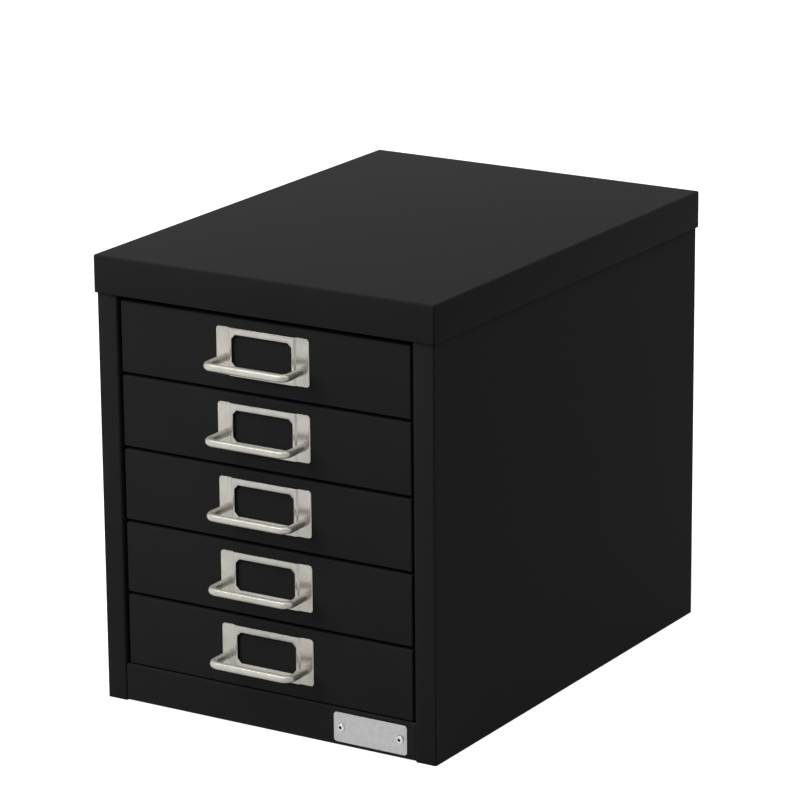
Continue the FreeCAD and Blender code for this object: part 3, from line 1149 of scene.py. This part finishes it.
@dataclass
class PlainSheets:
    """Sheets that keep their CAD solids: back, base, rails, trays, runners, guides."""

    coat: bpy.types.Material
    # Darker copy of the coat: painted shade for the parts inside the carcass
    painted_shade_coat: bpy.types.Material
    outside: tuple[str, ...] = ("back_", "plinth_", "drawer_tray_")
    inside: tuple[str, ...] = ("base_", "header_", "top_guide_", "runner_")

    def build(self) -> None:
        """Coats each of these CAD nodes."""
        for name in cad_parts:
            if name.startswith(self.outside):
                dress_node(name, self.coat)
            # Parts inside the carcass get the darker coat, which is painted shade
            elif name.startswith(self.inside):
                dress_node(name, self.painted_shade_coat)


# Drawers


@dataclass
class DrawerFront:
    """Front pan of a drawer: folded on all sides, with rounded folds."""

    coat: bpy.types.Material
    sheet: float = 0.8 * MM
    fold_radius: float = 1.0 * MM
    fold_steps: int = 5
    cut_edge: float = 0.15 * MM

    def build(self) -> bpy.types.Object:
        """Builds the top drawer's front.

        Returns:
            The front.
        """
        low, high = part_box("drawer_front_1")
        piece = add_block("drawer_skin_1", low, high)
        enter(piece)
        open_face(piece, {"y": high.y})
        corners = at_corners("x", (low.x, high.x), "z", (low.z, high.z))
        pick(piece, Element.EDGE, {"y": low.y}, *corners)
        bevel(self.fold_radius, self.fold_steps)
        leave()
        thicken(piece, self.sheet)
        soften(piece, self.cut_edge)
        return piece


@dataclass
class LabelHolder:
    """Stamped plate: flat wings, a raised middle and an eight-cornered window."""

    nickel: bpy.types.Material
    sheet: float = 0.8 * MM
    corner_radius: float = 2.5 * MM
    corner_steps: int = 8
    half_card: float = 27.5 * MM
    fold_run: float = 0.8 * MM
    fold_radius: float = 0.5 * MM
    fold_steps: int = 4
    window: tuple[float, float] = (49.5 * MM, 23.0 * MM)
    window_corner: float = 3.2 * MM
    window_raise: float = 2.0 * MM
    cutter_reach: float = 8.0 * MM
    lower_edge_raise: float = 1.3 * MM
    rolled_edge: float = 0.6 * MM
    rolled_steps: int = 4
    cut_edge: float = 0.12 * MM

    def build(self) -> bpy.types.Object:
        """Builds the top drawer's label holder.

        Returns:
            The holder.
        """
        low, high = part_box("label_holder_1")
        window_centre = (low + high) / 2 + Vector((0, 0, self.window_raise))
        # The photograph's plate ends a little above the solid's lower edge
        low = low + Vector((0, 0, self.lower_edge_raise))
        middle = (low + high) / 2
        wing = high.y - self.sheet
        piece = add_plane(
            "holder_plate_1",
            Vector((middle.x, wing, middle.z)),
            high.x - low.x,
            high.z - low.z,
            Facing.FRONT,
        )
        enter(piece)
        feet, crest = self.half_card, self.half_card - self.fold_run
        folds = (-feet, -crest, crest, feet)
        for across in folds:
            cut((across, 0, 0), (1, 0, 0))
        pick(piece, Element.FACE, {"mid_x": 0.0})
        bpy.ops.transform.translate(value=(0, low.y - wing, 0))
        corners = at_corners("x", (low.x, high.x), "z", (low.z, high.z))
        pick(piece, Element.VERTEX, *corners)
        bevel(self.corner_radius, self.corner_steps, Element.VERTEX)
        pick(piece, Element.EDGE, *({"x": across} for across in folds))
        bevel(self.fold_radius, self.fold_steps)
        leave()
        turn_towards(piece, Vector((0, -1, 0)))
        thicken(piece, self.sheet)
        round_front_rim(piece, self.rolled_edge, self.rolled_steps)
        cut_out(piece, self.window_cutter(window_centre))
        soften(piece, self.cut_edge)
        return piece

    def window_cutter(self, centre: Vector) -> bpy.types.Object:
        """Makes the prism that is taken out for the window.

        Args:
            centre: Middle of the window.

        Returns:
            The prism.
        """
        half = Vector((self.window[0] / 2, self.cutter_reach, self.window[1] / 2))
        low, high = centre - half, centre + half
        cutter = add_block("window_cutter", low, high)
        enter(cutter)
        corners = at_corners("x", (low.x, high.x), "z", (low.z, high.z))
        pick(cutter, Element.EDGE, *corners)
        bevel(self.window_corner, 1)
        leave()
        return cutter


@dataclass
class PullBar:
    """Round rod bent into a U, its ends on the holder's wings."""

    nickel: bpy.types.Material
    rod_radius: float = 2.8 * MM
    rod_corners: int = 32
    bend_radius: float = 6.5 * MM
    bend_steps: int = 14

    def build(self) -> bpy.types.Object:
        """Builds the top drawer's pull.

        Returns:
            The pull.
        """
        low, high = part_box("pull_bar_1")
        level = (low.z + high.z) / 2
        radius, bend = self.rod_radius, self.bend_radius
        leg = high.x - radius
        knee = low.y + radius + bend
        start = Vector((-leg, high.y, level))
        piece = add_disc("pull_rod_1", start, radius, self.rod_corners, filled=False)
        enter(piece)
        pick_all(Element.EDGE)
        extrude_edges((0, knee - high.y, 0))
        self.turn(Vector((bend - leg, knee, level)))
        extrude_edges((2 * (leg - bend), 0, 0))
        self.turn(Vector((leg - bend, knee, level)))
        extrude_edges((0, high.y - knee, 0))
        bpy.ops.mesh.select_all(action="SELECT")
        bpy.ops.mesh.fill_holes(sides=0)
        leave()
        face_outwards(piece)
        shade(piece)
        return piece

    def turn(self, centre: Vector) -> None:
        """Spins the rod's open end a quarter turn about an upright axis.

        Args:
            centre: Middle of the bend.
        """
        bpy.ops.mesh.spin(
            steps=self.bend_steps, angle=-QUARTER, center=centre, axis=(0, 0, 1)
        )


@dataclass
class PullScrews:
    """Pan heads with a cross recess, inside the drawer."""

    zinc: bpy.types.Material
    head_corners: int = 32
    slot_width: float = 0.9 * MM
    slot_reach: float = 1.55 * MM
    slot_depth: float = 1.1 * MM
    # Rings of the pan head, as shares of its radius and of its height
    pan_head: tuple[tuple[float, float], ...] = (
        (1.0, 0.45),
        (0.95, 0.68),
        (0.82, 0.87),
        (0.6, 0.97),
        (0.35, 1.0),
    )

    def build(self) -> bpy.types.Object:
        """Builds the top drawer's two screw heads as one piece.

        Returns:
            The heads.
        """
        low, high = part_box("pull_screws_1")
        radius = (high.z - low.z) / 2
        height = high.y - low.y
        pitch = high.x - low.x - 2 * radius
        centre = Vector((low.x + radius, low.y, (low.z + high.z) / 2))
        piece = add_disc("pull_screw_heads_1", centre, radius, self.head_corners)
        draw_out(piece, centre, height, self.pan_head)
        cut_out(piece, self.recess_cutter(centre + Vector((0, height, 0))))
        shade(piece)
        join(piece, copy_of(piece, "screw_copy", Vector((pitch, 0, 0))))
        return piece

    def recess_cutter(self, crown: Vector) -> bpy.types.Object:
        """Makes the cross that is taken out of a head.

        Args:
            crown: Middle of the head's top.

        Returns:
            The cross.
        """
        half = Vector((self.slot_width / 2, self.slot_depth, self.slot_width / 2))
        cutter = add_block("recess_cutter", crown - half, crown + half)
        for side in SIDES:
            for axis, name in ((0, "x"), (2, "z")):
                enter(cutter)
                pick(cutter, Element.FACE, {name: crown[axis] + side * half[axis]})
                way = [0.0, 0.0, 0.0]
                way[axis] = side * (self.slot_reach - half[axis])
                bpy.ops.mesh.extrude_region_move(TRANSFORM_OT_translate={"value": way})
                leave()
        return cutter


@dataclass
class DrawerStack:
    """The five equal drawers: modelled once at the top, then copied down."""

    front: DrawerFront
    holder: LabelHolder
    pull: PullBar
    screws: PullScrews

    def build(self) -> None:
        """Builds every drawer's pieces."""
        kinds = (
            (self.front.build(), self.front.coat, "front_coat", "drawer_front"),
            (self.holder.build(), self.holder.nickel, "holder_nickel", "label_holder"),
            (self.pull.build(), self.pull.nickel, "pull_nickel", "pull_bar"),
            (self.screws.build(), self.screws.zinc, "screw_zinc", "pull_screws"),
        )
        for piece, material, slot, node in kinds:
            # Each drawer's own solid says how far down its copy goes
            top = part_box(f"{node}_1")[0]
            stem = piece.name.removesuffix("1")
            for number in DRAWERS[1:]:
                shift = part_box(f"{node}_{number}")[0] - top
                twin = copy_of(piece, f"{stem}{number}", shift)
                dress(twin, material, f"drawer_{number}", f"{node}_{number}")
            dress(piece, material, "drawer_1", f"{node}_1")


# Studio


@dataclass(frozen=True)
class SoftLight:
    """Large soft lamp that looks at a point, and is mirrored by the metal or not."""

    name: str
    place: tuple[float, float, float]
    target: tuple[float, float, float]
    size: tuple[float, float]
    power: float
    mirrored: bool = True

    def build(self) -> None:
        """Builds the lamp."""
        lamp = bpy.data.lights.new(self.name, "AREA")
        lamp.shape = "RECTANGLE"
        lamp.size, lamp.size_y = self.size
        lamp.energy = self.power
        holder = bpy.data.objects.new(self.name, lamp)
        holder.location = self.place
        way = Vector(self.target) - Vector(self.place)
        holder.rotation_euler = way.to_track_quat("-Z", "Y").to_euler()
        holder.visible_glossy = self.mirrored
        bpy.context.scene.collection.objects.link(holder)


LIGHTS = (
    # Even light on the cap
    SoftLight("lamp_above", (0.1, 0.1, 2.2), (0, 0, 0.2), (3.0, 3.0), 21.0),
    # Main light on the fronts; mirrored in the pulls it would be a hard white patch
    SoftLight(
        "lamp_front_left",
        (-1.3, -1.7, 1.6),
        (0, 0, 0.25),
        (1.6, 1.6),
        62.0,
        mirrored=False,
    ),
    # Long thin highlight on the pulls
    SoftLight("lamp_strip", (-0.5, -1.5, 2.4), (0, 0, 0.2), (2.6, 0.25), 14.0),
    # Keeps the back from going black when it is looked at
    SoftLight(
        "lamp_rear",
        (0.5, 2.4, 0.9),
        (0, 0, 0.15),
        (2.0, 2.0),
        24.0,
        mirrored=False,
    ),
    # Faint light on the right wall
    SoftLight("lamp_right", (2.4, -0.4, 1.7), (0, 0, 0.25), (1.4, 1.4), 2.4),
)


@dataclass(frozen=True)
class PhotoCamera:
    """Camera where the photograph was taken from.

    Its place, angles and lens are fitted to the corners of the cap and the carcass.
    """

    place: tuple[float, float, float] = (1.5556, -2.5067, 1.0601)
    azimuth: float = math.radians(31.782)
    elevation: float = math.radians(16.273)
    roll: float = math.radians(-0.486)
    lens: float = 190.0
    sensor: float = 36.0
    sight: float = 50.0

    def build(self) -> None:
        """Builds the camera and looks through it."""
        data = bpy.data.cameras.new("camera")
        data.lens = self.lens
        data.sensor_width = self.sensor
        data.clip_end = self.sight
        camera = bpy.data.objects.new("camera", data)
        back = Vector(
            (
                math.sin(self.azimuth) * math.cos(self.elevation),
                -math.cos(self.azimuth) * math.cos(self.elevation),
                math.sin(self.elevation),
            )
        )
        level = (-back).cross(Vector((0, 0, 1))).normalized()
        up = back.cross(level)
        right = level * math.cos(self.roll) + up * math.sin(self.roll)
        turn = Matrix((right, back.cross(right), back)).transposed()
        camera.matrix_world = Matrix.Translation(self.place) @ turn.to_4x4()
        bpy.context.scene.collection.objects.link(camera)
        bpy.context.scene.camera = camera


@dataclass
class Studio:
    """White sweep, soft lamps and the camera at the photograph's angle."""

    floor: StudioFloor = StudioFloor()
    floor_size: float = 6.0
    # Strengths of the pale grey around it all: as a light, and as it is seen
    ambient: float = 0.3
    backdrop: float = 1.0
    lights: tuple[SoftLight, ...] = LIGHTS
    camera: PhotoCamera = PhotoCamera()

    def build(self) -> None:
        """Builds the surroundings."""
        self.build_floor()
        self.build_world()
        for light in self.lights:
            light.build()
        self.camera.build()
        bpy.context.scene.view_settings.view_transform = "Standard"

    def build_floor(self) -> None:
        """Lays the paper that the cabinet stands on."""
        size = self.floor_size
        paper = add_plane("floor_paper", Vector(), size, size, Facing.UP)
        paper.data.materials.append(self.floor.build())

    def build_world(self) -> None:
        """Makes the surroundings pale to the eye and dimmer as a light."""
        world = bpy.data.worlds.new("white_room")
        world.use_nodes = True
        tree = world.node_tree
        tree.nodes.clear()
        strength = add_node(
            tree,
            "ShaderNodeMapRange",
            inputs={
                "Value": seen_directly(tree),
                "To Min": self.ambient,
                "To Max": self.backdrop,
            },
        )
        glow = add_node(
            tree,
            "ShaderNodeBackground",
            inputs={"Strength": strength.outputs["Result"]},
        )
        add_node(
            tree,
            "ShaderNodeOutputWorld",
            inputs={"Surface": glow.outputs["Background"]},
        )
        bpy.context.scene.world = world


def main() -> None:
    """Builds the cabinet and its surroundings."""
    logging.basicConfig(level=logging.INFO, format="%(name)s: %(message)s")
    coat = OUTER_COAT.build()
    # A darker copy of the coat, as painted shade, for the parts inside the carcass and
    # the rivet holes
    painted_shade_coat = PAINTED_SHADE_COAT.build()
    TopCap(coat).build()
    SidePanel(coat).build()
    Nameplate(SATIN_ALUMINIUM.build(), BRIGHT_ALUMINIUM.build(), painted_shade_coat).build()
    DrawerStack(
        DrawerFront(coat),
        LabelHolder(PLATE_NICKEL.build()),
        PullBar(ROD_NICKEL.build()),
        PullScrews(ZINC_PLATE.build()),
    ).build()
    PlainSheets(coat, painted_shade_coat).build()
    Studio().build()


if __name__ == "__main__":
    main()
